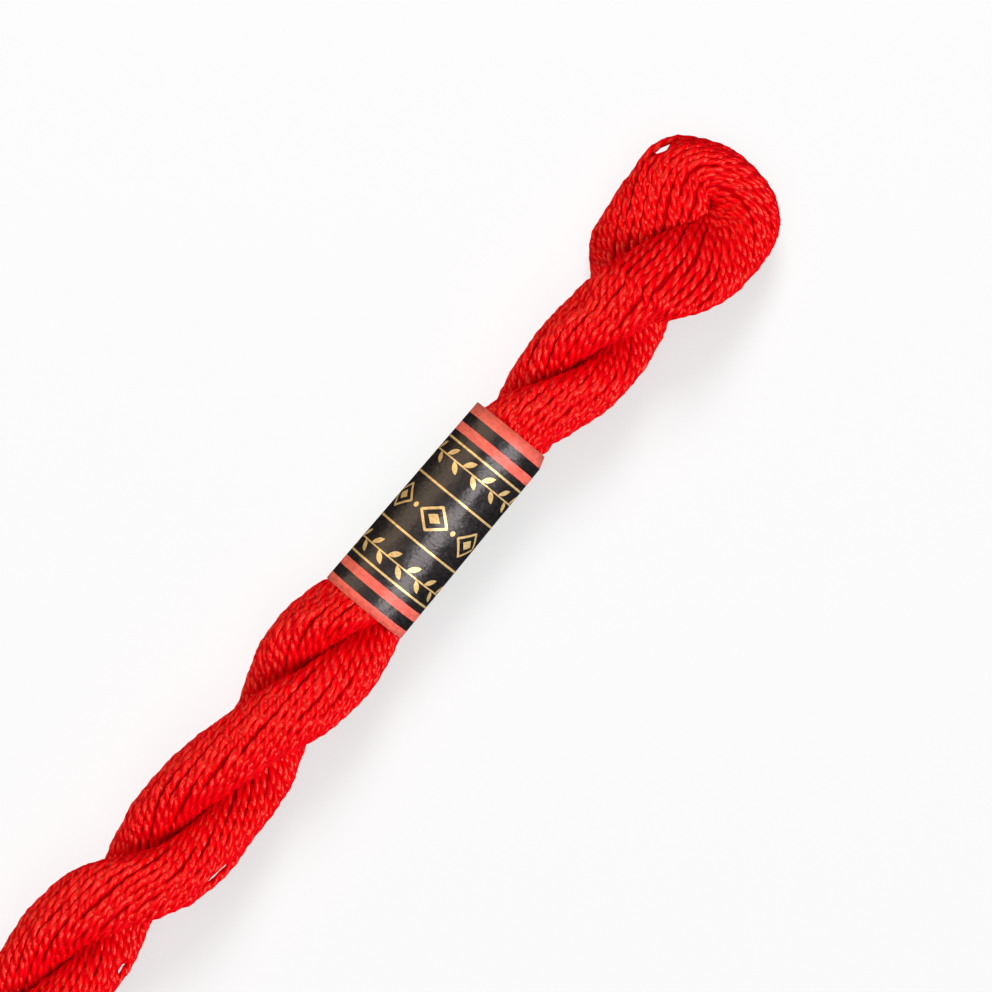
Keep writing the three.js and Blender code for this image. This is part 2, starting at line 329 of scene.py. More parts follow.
def mercerised_cotton(name, colour, deep_colour, painted_crease_shade, lustre):
    """Mercerised cotton: long smooth fibres, spun, plied and put in the dye, with a soft lustre along them
    and painted shade in the crease between the plies
    """
    material = new_material(name)
    along = add_node(material, "ShaderNodeUVMap", uv_map="along_thread")
    # Fibres 0.02 mm thick are too fine to show, so the streaks are drawn 0.09 mm wide
    streaks = add_node(
        material, "ShaderNodeMapping", {"Scale": (0.6, 24.0, 1.0)}, {"Vector": along.outputs["UV"]}
    )
    fibres = add_node(
        material, "ShaderNodeTexNoise", {"Scale": 1.0, "Detail": 3.0, "Roughness": 0.6},
        {"Vector": streaks.outputs["Vector"]},
    )
    place = add_node(material, "ShaderNodeTexCoord")
    # Dye takes unevenly over a few millimetres
    dye = add_node(
        material, "ShaderNodeTexNoise", {"Scale": 1 / (4.0 * MM), "Detail": 2.0},
        {"Vector": place.outputs["Object"]},
    )
    blend = add_node(
        material, "ShaderNodeMapRange", {"From Min": 0.3, "From Max": 0.7},
        {"Value": dye.outputs["Fac"]},
    )
    tone = add_node(
        material, "ShaderNodeMix", {"A": linear(deep_colour), "B": linear(colour)},
        {"Factor": blend.outputs["Result"]}, data_type="RGBA",
    )
    # Each ply stands out in a round ridge with a soft crease between it and the other one
    round_plies = add_node(material, "ShaderNodeUVMap", uv_map="round_plies")
    parts = add_node(material, "ShaderNodeSeparateXYZ", links={"Vector": round_plies.outputs["UV"]})
    turn = add_node(
        material, "ShaderNodeMath", {1: 2 * math.pi}, {0: parts.outputs["Y"]}, operation="MULTIPLY"
    )
    wave = add_node(material, "ShaderNodeMath", links={0: turn.outputs["Value"]}, operation="COSINE")
    ply = add_node(
        material, "ShaderNodeMath", links={0: wave.outputs["Value"], 1: wave.outputs["Value"]},
        operation="MULTIPLY",
    )
    plies = add_node(
        material, "ShaderNodeBump", {"Strength": 1.0, "Distance": 0.12 * MM},
        {"Height": ply.outputs["Value"]},
    )
    relief = add_node(
        material, "ShaderNodeBump", {"Strength": 0.7, "Distance": 0.05 * MM},
        {"Height": fibres.outputs["Fac"], "Normal": plies.outputs["Normal"]},
    )
    # Painted shade: the crease between the plies, where light is lost, is drawn a deeper red
    crease = add_node(
        material, "ShaderNodeMapRange", {"From Min": 0.0, "From Max": 0.5},
        {"Value": ply.outputs["Value"]},
    )
    # Dye tone, with the painted crease shade mixed in
    dye_and_crease_shade = add_node(
        material, "ShaderNodeMix", {"A": linear(painted_crease_shade)},
        {"Factor": crease.outputs["Result"], "B": tone.outputs["Result"]}, data_type="RGBA",
    )
    shader = add_node(
        material, "ShaderNodeBsdfPrincipled",
        {"Roughness": 0.23, "IOR": 1.53, "Specular IOR Level": 0.66, "Specular Tint": linear(lustre),
         "Subsurface Weight": 0.75, "Subsurface Radius": (1.0, 0.1, 0.07), "Subsurface Scale": 0.6 * MM},
        {"Base Color": dye_and_crease_shade.outputs["Result"], "Normal": relief.outputs["Normal"]},
    )
    add_node(material, "ShaderNodeOutputMaterial", links={"Surface": shader.outputs["BSDF"]})
    return material


def packed_cotton(name, colour):
    """Thread packed inside the hank, seen only in the gaps without any gloss, in a dull deep red that is
    painted shade
    """
    material = new_material(name)
    place = add_node(material, "ShaderNodeTexCoord")
    # Bumps about as wide as buried threads
    strands = add_node(
        material, "ShaderNodeTexNoise", {"Scale": 1 / (0.9 * MM)}, {"Vector": place.outputs["Object"]}
    )
    relief = add_node(
        material, "ShaderNodeBump", {"Strength": 0.8, "Distance": 0.2 * MM},
        {"Height": strands.outputs["Fac"]},
    )
    shader = add_node(
        material, "ShaderNodeBsdfPrincipled",
        {"Base Color": linear(colour), "Roughness": 0.9, "Specular IOR Level": 0.0,
         "Subsurface Weight": 0.85, "Subsurface Radius": (1.0, 0.1, 0.07), "Subsurface Scale": 0.8 * MM},
        {"Normal": relief.outputs["Normal"]},
    )
    add_node(material, "ShaderNodeOutputMaterial", links={"Surface": shader.outputs["BSDF"]})
    return material


def printed_paper(name, colour, roughness, metallic=0.0, coat=0.0):
    """Ink on thin label paper: the fibres raise the print, which mottles it and its shine"""
    material = new_material(name)
    place = add_node(material, "ShaderNodeTexCoord")
    # Clumps of paper fibres about 0.3 mm apart, drawn out round the band by the rollers
    rolled = add_node(
        material, "ShaderNodeMapping", {"Scale": (1.0, 0.55, 0.55)}, {"Vector": place.outputs["Object"]}
    )
    fibres = add_node(
        material, "ShaderNodeTexNoise", {"Scale": 1 / (0.28 * MM), "Detail": 2.0},
        {"Vector": rolled.outputs["Vector"]},
    )
    cockle = add_node(
        material, "ShaderNodeTexNoise", {"Scale": 1 / (4.0 * MM), "Detail": 1.0},
        {"Vector": place.outputs["Object"]},
    )
    relief = add_node(
        material, "ShaderNodeBump", {"Strength": 1.0, "Distance": 0.06 * MM},
        {"Height": fibres.outputs["Fac"]},
    )
    wavy = add_node(
        material, "ShaderNodeBump", {"Strength": 0.8, "Distance": 0.8 * MM},
        {"Height": cockle.outputs["Fac"], "Normal": relief.outputs["Normal"]},
    )
    # Ink lies thinner on the raised fibres and looks a little paler
    ink = linear(colour)
    thin_ink = tuple(min(1.0, c * 1.35 + 0.012) for c in ink[:3]) + (1.0,)
    bare = add_node(
        material, "ShaderNodeMapRange", {"From Min": 0.35, "From Max": 0.7},
        {"Value": fibres.outputs["Fac"]},
    )
    tone = add_node(
        material, "ShaderNodeMix", {"A": ink, "B": thin_ink},
        {"Factor": bare.outputs["Result"]}, data_type="RGBA",
    )
    shader = add_node(
        material, "ShaderNodeBsdfPrincipled",
        {"Roughness": roughness, "Metallic": metallic, "IOR": 1.5, "Specular IOR Level": 0.42,
         "Coat Weight": coat, "Coat Roughness": 0.3},
        {"Base Color": tone.outputs["Result"], "Normal": wavy.outputs["Normal"],
         "Coat Normal": wavy.outputs["Normal"]},
    )
    add_node(material, "ShaderNodeOutputMaterial", links={"Surface": shader.outputs["BSDF"]})
    return material


def studio_floor(name, colour):
    """Matt board, lit to look white"""
    material = new_material(name)
    place = add_node(material, "ShaderNodeTexCoord")
    grain = add_node(
        material, "ShaderNodeTexNoise", {"Scale": 1 / (2.0 * MM)}, {"Vector": place.outputs["Object"]}
    )
    relief = add_node(
        material, "ShaderNodeBump", {"Strength": 0.05, "Distance": 0.01 * MM},
        {"Height": grain.outputs["Fac"]},
    )
    shader = add_node(
        material, "ShaderNodeBsdfPrincipled",
        {"Base Color": linear(colour), "Roughness": 0.9, "Specular IOR Level": 0.1},
        {"Normal": relief.outputs["Normal"]},
    )
    add_node(material, "ShaderNodeOutputMaterial", links={"Surface": shader.outputs["BSDF"]})
    return material


def mesh_object(name, points, faces, materials, face_materials=None, uv=None):
    """Smooth mesh object from points in millimetres and faces of four corners"""
    faces = np.asarray(faces, dtype=np.int32)
    mesh = bpy.data.meshes.new(name)
    mesh.vertices.add(len(points))
    mesh.vertices.foreach_set("co", (np.asarray(points) * MM).astype(np.float32).ravel())
    mesh.loops.add(faces.size)
    mesh.loops.foreach_set("vertex_index", faces.ravel())
    mesh.polygons.add(len(faces))
    mesh.polygons.foreach_set("loop_start", np.arange(len(faces), dtype=np.int32) * 4)
    mesh.polygons.foreach_set("use_smooth", np.ones(len(faces), dtype=bool))
    if face_materials is not None:
        mesh.polygons.foreach_set("material_index", np.asarray(face_materials, dtype=np.int32))
    for layer_name, places in (uv or {}).items():
        layer = mesh.uv_layers.new(name=layer_name)
        layer.data.foreach_set("uv", places.astype(np.float32).ravel())
    mesh.update(calc_edges=True)
    mesh.validate()
    for material in materials:
        mesh.materials.append(material)
    piece = bpy.data.objects.new(name, mesh)
    bpy.context.scene.collection.objects.link(piece)
    return piece


def unit(vectors):
    """Vectors scaled to length 1"""
    return vectors / np.linalg.norm(vectors, axis=-1, keepdims=True)


def between(places, values, at):
    """Values between the rows of a table, on a smooth curve that never overshoots"""
    chords = np.diff(values) / np.diff(places)
    slopes = np.zeros(len(values))
    product = chords[:-1] * chords[1:]
    steady = product > 0
    slopes[1:-1][steady] = (2 * product / np.where(steady, chords[:-1] + chords[1:], 1))[steady]
    i = np.clip(np.searchsorted(places, at) - 1, 0, len(places) - 2)
    span = places[i + 1] - places[i]
    t = (at - places[i]) / span
    rise = t * t * (3 - 2 * t)
    bend = t * (1 - t) * ((1 - t) * slopes[i] - t * slopes[i + 1]) * span
    return values[i] + (values[i + 1] - values[i]) * rise + bend


def rope_table():
    """Rows of the whole rope by column name, sorted along X"""
    rows = list(BANDED_ROWS)
    for i in range(PLAIN_CROSSINGS):
        x, turns, _, mid_y, *sizes = PLAIN_FIRST_ROW
        fade = 1 - i / (PLAIN_CROSSINGS - 1)
        tail = [mid_y * fade, *sizes] if i < PLAIN_CROSSINGS - 1 else LAST_CROSSING_SIZES
        rows.append((x - i * PLAIN_HALF_TURN, turns - i, turns - i, *tail))
    crossing = rows[-1]
    first = next(row for row in BANDED_ROWS if row[1] == 0)
    for x, turns, _, mid_y, *sizes in reversed(BANDED_ROWS[:BANDED_ROWS.index(first)]):
        rows.append((crossing[0] - (x - first[0]), crossing[1] - turns, crossing[1], -mid_y, *sizes))
    return dict(zip(ROPE_COLUMNS, np.array(rows[::-1]).T))


def strand_sections(table, x, side):
    """Sections of one strand at each x; side is -1 for the first strand and 1 for the second"""
    at = {name: between(table["x"], table[name], x) for name in ROPE_COLUMNS[1:]}
    half = np.pi if side > 0 else 0.0
    place = np.pi * (0.5 + at["turns"]) + half
    lean = np.pi * (0.5 + at["lean"]) + half
    none = np.zeros_like(x)
    centre = np.stack([
        x,
        at["mid_y"] + at["apart"] * np.cos(place),
        at["mid_z"] + at["apart"] * np.sin(place),
    ], axis=1)
    return {
        "centre": centre,
        "outward": np.stack([none, np.cos(lean), np.sin(lean)], axis=1),
        "across": np.stack([none, -np.sin(lean), np.cos(lean)], axis=1),
        "lean": lean,
        "thick": at["thick"],
        "broad": at["broad"] + at["bulge"] * np.sin(place),
    }


def loop_sections(table, end, side, degrees):
    """Sections of the strand round an end loop; end is 1 at the banded end and -1 at the plain one"""
    start = table["x"][-1 if end > 0 else 0]
    arm = strand_sections(table, np.array([start]), side)
    mid_y = table["mid_y"][-1 if end > 0 else 0]
    radius = abs(arm["centre"][0, 1] - mid_y)
    length = SKEIN_LENGTH / 2 - LOOP_TIP_HALF_WIDTH - abs(start)
    angle = np.radians(degrees)
    forward = np.cos(angle) ** (2 / LOOP_SQUARENESS)
    sideways = np.sin(angle) ** (2 / LOOP_SQUARENESS)
    power = LOOP_SQUARENESS - 1
    away = unit(np.stack([
        end * forward ** power / length,
        side * sideways ** power / radius,
        np.zeros_like(angle),
    ], axis=1))
    widths = np.array(LOOP_WIDTHS).T
    share = between(widths[0], widths[1], side * degrees)
    count = len(degrees)
    arm_z = arm["centre"][0, 2]
    return {
        "centre": np.stack([
            start + end * length * forward,
            mid_y + side * radius * sideways + end * LOOP_TIP_SHIFT * forward,
            arm_z + (LOOP_TIP_Z - arm_z) * forward,
        ], axis=1),
        "outward": np.repeat(arm["outward"], count, axis=0),
        "across": away * end,
        "lean": np.repeat(arm["lean"], count),
        "thick": LOOP_TIP_HALF_HEIGHT + (arm["thick"][0] - LOOP_TIP_HALF_HEIGHT) * sideways,
        "broad": LOOP_TIP_HALF_WIDTH + (arm["broad"][0] - LOOP_TIP_HALF_WIDTH) * share,
    }


def ring_sections(step):
    """Sections round the whole ring, evenly spaced: out along one strand, back along the other"""
    table = rope_table()
    arc = np.linspace(0, 90, LOOP_PLACES)
    x = np.arange(table["x"][0], table["x"][-1], STRAND_STEP)
    parts = [
        loop_sections(table, -1, -1, arc[:-1]),
        strand_sections(table, x, -1),
        loop_sections(table, 1, -1, arc[::-1]),
        loop_sections(table, 1, 1, arc[1:-1]),
        strand_sections(table, x[::-1], 1),
        loop_sections(table, -1, 1, arc[::-1]),
    ]
    for part in parts[3:]:
        part["outward"] = -part["outward"]
    dense = {name: np.concatenate([part[name] for part in parts]) for name in parts[0]}
    turned = np.abs(np.diff(dense["lean"]))
    turned[turned > 1] = 0
    dense["turned"] = np.concatenate([[0], np.cumsum(turned)])
    gaps = np.linalg.norm(np.diff(dense["centre"], axis=0), axis=1)
    place = np.concatenate([[0], np.cumsum(gaps)])
    count = int(round(place[-1] / step))
    even = np.arange(count) * place[-1] / count
    sections = {}
    for name, values in dense.items():
        if values.ndim == 1:
            sections[name] = np.interp(even, place, values)
        else:
            sections[name] = np.stack([np.interp(even, place, column) for column in values.T], axis=1)
    reach = int(EASE_LENGTH / 2 / step)
    if reach:
        weights = np.hanning(2 * reach + 1)
        weights /= weights.sum()
        for name in ("centre", "outward", "across", "thick", "broad"):
            around = np.concatenate([sections[name][-reach:], sections[name], sections[name][:reach]])
            columns = around.reshape(len(around), -1).T
            eased = np.stack([np.convolve(column, weights, "valid") for column in columns], axis=1)
            sections[name] = eased.reshape(sections[name].shape)
    sections["outward"] = unit(sections["outward"])
    sections["across"] = unit(sections["across"])
    sections["place"] = even
    sections["length"] = place[-1]
    return sections


def smooth_noise(place, wavelengths, seed):
    """Sum of a few waves of random phase along the thread, mostly between -1 and 1"""
    random = np.random.default_rng(seed)
    waves = np.zeros_like(place)
    for wavelength in wavelengths:
        for _ in range(3):
            own = wavelength * random.uniform(0.75, 1.3)
            waves += np.sin(2 * np.pi * (place / own + random.uniform()))
    return waves / math.sqrt(3 * len(wavelengths) * 1.5)


def angles_round_oval(share, thick, broad):
    """Angle in the oval at each share of its girth, so that threads lie evenly round it"""
    angle = np.linspace(0, 2 * np.pi, 97)
    speed = np.hypot(thick[:, None] * np.sin(angle), broad[:, None] * np.cos(angle))
    girth = np.cumsum((speed[:, 1:] + speed[:, :-1]) / 2, axis=1)
    girth = np.concatenate([np.zeros((len(thick), 1)), girth], axis=1)
    girth /= girth[:, -1:]
    return np.stack([np.interp(share[:, i], girth[i], angle) for i in range(len(thick))], axis=1)


def wind_round(ring, rounds):
    """Rounds that a thread has wound about its strand, at each place in one turn of the hank"""
    own_turns = 2 * np.pi * rounds - ring["turned"][-1]
    wound = -(ring["turned"] + own_turns * ring["place"] / ring["length"]) / (2 * np.pi)
    tip = ring["place"][np.argmax(ring["centre"][:, 0])]
    fan = np.clip((ring["place"] - tip + FAN_PLACE) / FAN_LENGTH + 0.5, 0, 1)
    return wound - FAN_TURNS * (fan * fan * (3 - 2 * fan) - ring["place"] / ring["length"])


def lay_thread(settings):
    """Centre line of the outer thread over all its turns of the hank, with the outward direction"""
    ring = ring_sections(settings.facet_length / MM)
    count = len(ring["place"])
    lays = settings.lays
    rounds = settings.whole_rounds + settings.step_lays / lays
    wound = wind_round(ring, rounds)
    turn = np.arange(lays)[:, None]
    travel = (turn * ring["length"] + ring["place"]).ravel()
    envelope = OUTER_INSET * settings.thread_size / MM
    wander = settings.wander / MM
    stray = smooth_noise(travel, *STRAY).reshape(lays, count)
    girth = np.pi * (ring["thick"] + ring["broad"] - 2 * envelope)
    share = -turn * rounds + wound + stray * wander / girth
    thick = ring["thick"] - envelope
    broad = ring["broad"] - envelope
    angle = angles_round_oval(share % 1.0, thick, broad)
    outward, across = ring["outward"], ring["across"]
    cos, sin = np.cos(angle)[..., None], np.sin(angle)[..., None]
    points = ring["centre"] + thick[:, None] * cos * outward + broad[:, None] * sin * across
    normal = unit(broad[:, None] * cos * outward + thick[:, None] * sin * across)
    depth = smooth_noise(travel, *DEPTH).reshape(lays, count, 1)
    points = points + normal * depth * wander * DEPTH_WANDER
    points, normal = points.reshape(-1, 3), normal.reshape(-1, 3)
    points -= normal * tuck_of_ends(travel)[:, None]
    keep_in_band(points, envelope)
    close_eyes(points)
    open_slits(points, travel, envelope)
    # The thickest stretch still lies on the board
    thickest = (1 + PLY_LOBE) * (1 + NOISE_PEAK * UNEVEN_SIZE)
    points[:, 2] = np.maximum(points[:, 2], settings.thread_size / MM / 2 * thickest)
    return points, normal, travel


def tuck_of_ends(travel):
    """How far the thread's first and last stretches sink into the hank"""
    to_end = np.minimum(travel, travel[-1] - travel) / END_TUCK_IN_LENGTH
    return END_TUCK_IN * np.clip(1 - to_end, 0, 1) ** 2


def band_size(x, name):
    """Band's middle or half width across the skein, between its sizes at its two ends"""
    share = (x - BAND_START) / (BAND_END - BAND_START)
    return BAND_LEFT[name] + share * (BAND_RIGHT[name] - BAND_LEFT[name])


def band_half_width(x, side):
    """Half width of the band on the side of the given sign, tucked in at one corner"""
    tuck = np.clip((x - BAND_END) / END_TUCK_LENGTH + 1, 0, 1) ** 2
    return band_size(x, "half_width") - END_TUCK * tuck * np.clip(-side, 0, 1)


def keep_in_band(points, reach):
    """Press the thread's centre line in where it would come through the paper band"""
    x = points[:, 0]
    mid_y = band_size(x, "mid_y")
    half = band_half_width(x, np.sign(points[:, 1] - mid_y))
    beyond = np.maximum(0, np.maximum(BAND_START - x, x - BAND_END))
    inner = reach + PAPER_ROOM - beyond * MOUTH_SLOPE
    size = np.hypot(
        (points[:, 1] - mid_y) / (half - inner), (points[:, 2] - BAND_MID_Z) / (BAND_HALF_HEIGHT - inner)
    )
    press = np.where(beyond < MOUTH_REACH, 1 / np.maximum(size, 1), 1)
    points[:, 1] = mid_y + (points[:, 1] - mid_y) * press
    points[:, 2] = BAND_MID_Z + (points[:, 2] - BAND_MID_Z) * press


def close_eyes(points):
    """Draw the strands together round the eye of each end loop and hollow it a little"""
    for end in (-1, 1):
        offset = points[:, :2] - (end * EYE_X, 0.0)
        square = np.sum(offset ** 2, axis=1)
        pull = EYE_CLOSING * np.exp(-square / EYE_REACH ** 2)
        hollow = np.exp(-square / EYE_HOLLOW_REACH ** 2)
        points[:, :2] -= offset * pull[:, None]
        points[:, 1] -= end * EYE_SHIFT * hollow
        points[:, 2] *= 1 - EYE_SINK * hollow


def slit_frame(points, slit):
    """Direction of a slit's edge outwards, and each point's place out of the slit and beside it"""
    turn = math.radians(slit["outwards"])
    outwards = np.array((math.cos(turn), math.sin(turn)))
    offset = points[:, :2] - (slit["x"], slit["y"])
    return outwards, offset @ outwards, offset @ (-outwards[1], outwards[0])


def open_slits(points, travel, reach):
    """Part the outermost thread from the others at each slit in the hank's edge"""
    for slit in EDGE_SLITS:
        outwards, out, beside = slit_frame(points, slit)
        near = (np.abs(beside) < SLIT_SEARCH) & (np.abs(out) < SLIT_DEPTH)
        outermost = np.flatnonzero(near)[np.argmax(out[near])]
        fall = np.exp(-(beside / slit["length"]) ** 4)
        inner = np.minimum(0, -slit["gap"] - reach - out) * fall * (np.abs(out) < SLIT_DEPTH)
        along = (travel - travel[outermost]) / slit["length"]
        own = np.abs(along) < BOW_REACH
        outer = np.maximum(0, slit["gap"] + reach - out[outermost]) * np.exp(-along ** 4 / BOW_EASE)
        points[:, :2] += np.where(own, outer, inner)[:, None] * outwards


def dent_core(points):
    """Draw the core back from each slit, so that the floor shows through"""
    for slit in EDGE_SLITS:
        outwards, out, beside = slit_frame(points, slit)
        fall = np.exp(-(beside / (CORE_SLIT_STRETCH * slit["length"])) ** 4)
        inner = np.minimum(0, -slit["gap"] - CORE_SLIT_ROOM - out) * fall * (np.abs(out) < CORE_SLIT_DEPTH)
        points[:, :2] += inner[:, None] * outwards


def thread_rings(points, normal, travel, settings):
    """Rings of points round the thread, whose two lobes wind round it, with length and twist"""
    tangent = unit(np.gradient(points, axis=0))
    normal = unit(normal - tangent * np.sum(normal * tangent, axis=1, keepdims=True))
    cross = np.cross(tangent, normal)
    steps = np.linalg.norm(np.diff(points, axis=0), axis=1)
    length = np.concatenate([[0], np.cumsum(steps)])
    uneven = UNEVEN_TWIST * smooth_noise(travel, *TWIST)
    twist = length / (settings.ply_pitch / MM) + uneven
    corner = np.arange(THREAD_SIDES) / THREAD_SIDES
    angle = 2 * np.pi * (corner[None, :] - twist[:, None])
    size = settings.thread_size / MM * (1 + UNEVEN_SIZE * smooth_noise(travel, *SPIN))
    radius = size[:, None] / 2 * (1 + PLY_LOBE * np.cos(4 * np.pi * corner))[None, :]
    rings = (
        points[:, None]
        + (radius * np.cos(angle))[..., None] * normal[:, None]
        + (radius * np.sin(angle))[..., None] * cross[:, None]
    )
    return rings, length, twist


def tube_faces(rings, sides):
    """Faces of four corners round a tube of rings, each seam corner wrapping to the first side"""
    ring = np.arange(rings - 1)[:, None] * sides
    side = np.arange(sides)[None, :]
    beside = (side + 1) % sides
    return np.stack([ring + side, ring + beside, ring + beside + sides, ring + side + sides], axis=2)


def corner_places(along, across):
    """Place along the thread and across it at the four corners of each face of a tube"""
    places = np.empty((len(along) - 1, across.shape[1] - 1, 4, 2))
    places[..., 0, 0] = places[..., 1, 0] = along[:-1, None]
    places[..., 2, 0] = places[..., 3, 0] = along[1:, None]
    places[..., 0, 1], places[..., 1, 1] = across[:-1, :-1], across[:-1, 1:]
    places[..., 2, 1], places[..., 3, 1] = across[1:, 1:], across[1:, :-1]
    return places.reshape(-1, 2)


def thread_tube(rings, length, twist):
    """Points, faces and texture coordinates of a stretch of thread, each end closed"""
    count, sides = rings.shape[:2]
    faces = tube_faces(count, sides).reshape(-1, 4)
    half = [(0, i, i + 1, i + 2) for i in range(1, sides - 1, 2)]
    first = np.array(half)[:, ::-1]
    last = np.array(half) + (count - 1) * sides
    corner = np.arange(sides + 1) / sides
    end_places = np.repeat([(length[0], 0.0), (length[-1], 0.0)], 4 * len(half), axis=0)
    # Fibres in a plied thread lie along it, so their coordinate keeps its place while the lobes wind
    round_thread = {
        "along_thread": corner[None, :] - twist[:, None],
        "round_plies": np.broadcast_to(corner, (count, sides + 1)),
    }
    uv = {
        name: np.concatenate([corner_places(length, across), end_places])
        for name, across in round_thread.items()
    }
    return rings.reshape(-1, 3), np.concatenate([faces, first, last]), uv


def oval_tube(sections, inset):
    """Points of a closed tube inside the strand, its last ring joined to its first"""
    turn = (2 * np.pi * np.arange(CORE_SIDES) / CORE_SIDES)[None, :, None]
    thick = (sections["thick"] - inset)[:, None, None]
    broad = (sections["broad"] - inset)[:, None, None]
    points = sections["centre"][:, None] + sections["outward"][:, None] * thick * np.cos(turn)
    return points + sections["across"][:, None] * broad * np.sin(turn)


class SKEIN_OT_core(bpy.types.Operator):
    """Pack the inside of the hank, which shows only between the outer threads, in a dark red that is
    painted shade
    """

    bl_idname = "skein.core"
    bl_label = "Pack the core"

    def execute(self, context):
        settings = context.scene.hank_settings
        sections = ring_sections(CORE_STEP)
        points = oval_tube(sections, CORE_INSET * settings.thread_size / MM).reshape(-1, 3)
        close_eyes(points)
        dent_core(points)
        points[:, 2] = np.maximum(points[:, 2], CORE_LIFT)
        faces = tube_faces(len(points) // CORE_SIDES + 1, CORE_SIDES).reshape(-1, 4) % len(points)
        # The core's cotton is drawn a deeper red than the thread: painted shade between the outer threads
        cotton = packed_cotton("packed_cotton_core_painted_shade", settings.core_shade_colour)
        core = mesh_object("hank_core", points, faces, [cotton])
        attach(core, "root")
        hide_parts("hank")
        return {"FINISHED"}


class SKEIN_OT_threads(bpy.types.Operator):
    """Wind the outer two-ply thread turn by turn, a few turns to a piece"""

    bl_idname = "skein.threads"
    bl_label = "Wind the threads"

    def execute(self, context):
        settings = context.scene.hank_settings
        cotton = mercerised_cotton(
            "mercerised_cotton_thread", settings.colour, settings.deep_colour, settings.painted_crease_shade,
            settings.lustre,
        )
        points, normal, travel = lay_thread(settings)
        rings, length, twist = thread_rings(points, normal, travel, settings)
        # Places in one turn of the hank
        count = len(points) // settings.lays
        ends = np.round(np.linspace(0, settings.lays, THREAD_PIECES + 1)).astype(int)
        for piece in range(THREAD_PIECES):
            stretch = slice(ends[piece] * count, ends[piece + 1] * count + 1)
            tube, faces, uv = thread_tube(rings[stretch], length[stretch], twist[stretch])
            lay = mesh_object(f"hank_threads_{piece + 1}", tube, faces, [cotton], uv=uv)
            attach(lay, "root")
            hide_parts("hank")
        return {"FINISHED"}


class SKEIN_OT_band(bpy.types.Operator):
    """Wrap the printed paper strip round the hank, its end lapped over its start underneath"""

    bl_idname = "skein.band"
    bl_label = "Wrap the paper band"

    def execute(self, context):
        settings = context.scene.band_settings
        inks = [
            printed_paper("printed_paper_ground", settings.ground, 0.4, coat=0.2),
            printed_paper("printed_paper_stripe", settings.stripe_colour, 0.5, coat=0.1),
            printed_paper("bare_paper_edge", settings.paper, 0.8),
            printed_paper("gold_ink", settings.gold, 0.36, metallic=0.3, coat=0.1),
        ]
        build_band(settings, inks)
        build_print(settings, inks)
        return {"FINISHED"}


def band_point(x, angle, inset=0.0):
    """Point of the band's outside, moved in by inset, at a place along it and an angle round it"""
    y = band_size(x, "mid_y") + (band_half_width(x, np.cos(angle)) - inset) * np.cos(angle)
    z = BAND_MID_Z + (BAND_HALF_HEIGHT - inset) * np.sin(angle)
    return np.stack([np.broadcast_to(x, y.shape), y, z], axis=-1)


def stripe_edges(settings):
    """Edges of the stripes from each end of the band, in millimetres"""
    stripe = settings.stripe / MM
    ends = settings.left_edge / MM, settings.right_edge / MM
    return [[0, end, end + 1.08 * stripe, end + 2 * stripe] for end in ends]


def build_band(settings, inks):
    """Paper strip with the two coral and black stripes at each end"""
    thickness = settings.thickness / MM
    left, right = stripe_edges(settings)
    length = BAND_END - BAND_START
    columns = left + list(np.linspace(left[-1], length - right[-1], BAND_COLUMNS))[1:-1]
    columns += [length - edge for edge in reversed(right)]
    x = BAND_START + np.array(columns)
    angle = LAP_START + np.linspace(0, 2 * np.pi + LAP_ANGLE, BAND_ANGLES)
    lap = np.clip((angle - LAP_START) / LAP_ANGLE, 0, 1)
    inner_lap = thickness * LAP_DEPTH * (1 - lap * lap * (3 - 2 * lap))
    xx, aa = np.meshgrid(x, angle, indexing="ij")
    inset = np.broadcast_to(inner_lap, aa.shape)
    outside = band_point(xx, aa, inset)
    inside = band_point(xx, aa, inset + thickness)
    rows, wide = aa.shape
    points = np.concatenate([outside.reshape(-1, 3), inside.reshape(-1, 3)])
    faces, slots = [], []
    shift = rows * wide
    stripes = [STRIPE, GROUND, STRIPE]
    ink_of_column = stripes + [GROUND] * (rows - 1 - 2 * len(stripes)) + stripes
    for i in range(rows - 1):
        for j in range(wide - 1):
            a, b, c, d = i * wide + j, i * wide + j + 1, (i + 1) * wide + j + 1, (i + 1) * wide + j
            faces += [(a, d, c, b), (a + shift, b + shift, c + shift, d + shift)]
            slots += [ink_of_column[i], BARE_PAPER]
    # Cut edges at the band's two ends, then at the two ends of its strip
    last = (rows - 1) * wide
    for a in range(wide - 1):
        d = last + a
        faces += [(a, a + 1, a + 1 + shift, a + shift), (d, d + shift, d + 1 + shift, d + 1)]
        slots += 2 * [BARE_PAPER]
    for a in range(0, last, wide):
        b, c, d = a + wide, a + wide - 1, a + 2 * wide - 1
        faces += [(a, a + shift, b + shift, b), (c, d, d + shift, c + shift)]
        slots += 2 * [BARE_PAPER]
    band = mesh_object("paper_band", points, faces, inks[:GOLD], slots)
    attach(band, "root")
    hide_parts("band")


def stroke(x, around, turn, length, widths):
    """Corners of a printed stroke: pairs of points along its line, half of its width to each side"""
    along = (np.linspace(0, 1, len(widths))[:, None] - 0.5) * length
    across = np.array(widths)[:, None] * (-0.5, 0.5)
    cos, sin = math.cos(turn), math.sin(turn)
    return np.stack([x + along * sin + across * cos, around + along * cos - across * sin], axis=2)


